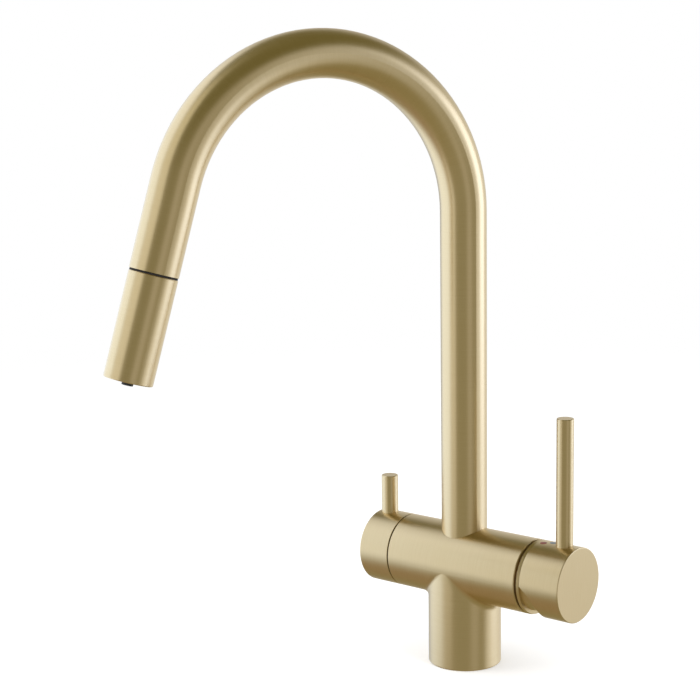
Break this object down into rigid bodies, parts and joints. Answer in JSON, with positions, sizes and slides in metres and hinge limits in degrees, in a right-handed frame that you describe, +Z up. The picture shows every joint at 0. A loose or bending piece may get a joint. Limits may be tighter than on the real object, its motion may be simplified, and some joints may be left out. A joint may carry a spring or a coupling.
{
  "type": "three way filtered water tap",
  "caption": "Kitchen tap with a swivelling arched spout, a pull-out spray head, a side mixer lever and a second lever for filtered water.",
  "frame": {"origin": "centre of the base's flat underside, where the tap stands on the worktop", "axes": "+Z up, +X along the barrel towards the mixer handle, -Y towards the user at the sink"},
  "size_m": [0.1935, 0.2634, 0.4289],
  "materials": {
    "brushed_brass": "satin brushed, clear coated",
    "raw_brass": "turned, uncoated",
    "steel": "plain stainless",
    "black_rubber": "matt",
    "dark_plastic": "moulded, fine matt",
    "white_plastic": "moulded",
    "braided_hose": "braided nylon over rubber",
    "blue_tube": "smooth drawn tube",
    "ceramic": "lapped, glossy"
  },
  "bodies": {
    "tap_body": {"tap_body": "brushed_brass", "inlet_plate": "raw_brass", "base_seal": "black_rubber", "swing_stop_screw": "steel", "hose_guide": "white_plastic", "cartridge_nut": "raw_brass", "dome_cover": "brushed_brass", "cartridge_housing": "white_plastic", "cartridge_base": "dark_plastic", "cartridge_port_seals": "black_rubber", "cartridge_fixed_disc": "ceramic", "filter_valve_body": "raw_brass", "filter_valve_seal": "black_rubber", "filter_fixed_disc": "ceramic"},
    "spout": {"spout_pipe": "brushed_brass", "spout_spigot": "raw_brass", "spigot_rings": "black_rubber", "spout_glide_ring": "white_plastic", "docking_socket": "dark_plastic", "spray_hose": "braided_hose", "filter_tube": "blue_tube", "hose_end_fitting": "raw_brass"},
    "spray_head": {"spray_head_shell": "brushed_brass", "docking_collar": "dark_plastic", "docking_washer": "black_rubber", "hose_nut": "raw_brass", "spray_core": "white_plastic", "check_valve": "white_plastic", "check_valve_ring": "black_rubber", "aerator_gasket": "black_rubber", "aerator_ring": "dark_plastic", "jet_plate": "dark_plastic", "filter_nozzle": "dark_plastic"},
    "mixer_core": {"cartridge_rotor": "white_plastic", "cartridge_pivot_pin": "steel"},
    "mixer_disc": {"cartridge_moving_disc": "ceramic", "cartridge_disc_carrier": "white_plastic"},
    "mixer_handle": {"cartridge_stem": "raw_brass", "mixer_cap": "brushed_brass", "mixer_lever": "brushed_brass", "mixer_grub_screw": "steel", "mixer_screw_plug": "brushed_brass"},
    "filter_handle": {"filter_moving_disc": "ceramic", "filter_spindle": "raw_brass", "filter_cap": "brushed_brass", "filter_lever": "brushed_brass", "filter_grub_screw": "steel", "filter_screw_plug": "brushed_brass"}
  },
  "joints": [
    {"name": "spout_swivel", "type": "hinge", "parent": "tap_body", "child": "spout", "pos_m": [0, 0, 0.2], "axis": [0, 0, 1], "range_deg": [-53.8, 96.2]},
    {"name": "spray_pull", "type": "slide", "parent": "spout", "child": "spray_head", "axis": [-0.103, -0.2656, -0.9586], "range_m": [0, 0.2], "deforming": ["spray_hose", "filter_tube"]},
    {"name": "mixer_turn", "type": "hinge", "parent": "tap_body", "child": "mixer_core", "pos_m": [0.058, 0, 0.07], "axis": [1, 0, 0], "range_deg": [-50, 50]},
    {"name": "mixer_tilt", "type": "hinge", "parent": "mixer_core", "child": "mixer_handle", "pos_m": [0.058, 0, 0.07], "axis": [0, 1, 0], "range_deg": [0, 20]},
    {"name": "mixer_disc_slide", "type": "slide", "parent": "mixer_core", "child": "mixer_disc", "axis": [0, 0, 1], "range_m": [0, 0.00574]},
    {"name": "filter_turn", "type": "hinge", "parent": "tap_body", "child": "filter_handle", "pos_m": [-0.06, 0, 0.07], "axis": [1, 0, 0], "range_deg": [0, 90]}
  ],
  "couplings": [
    {"joint": "mixer_disc_slide", "follows": "mixer_tilt", "m_per_rad": 0.016167}
  ]
}
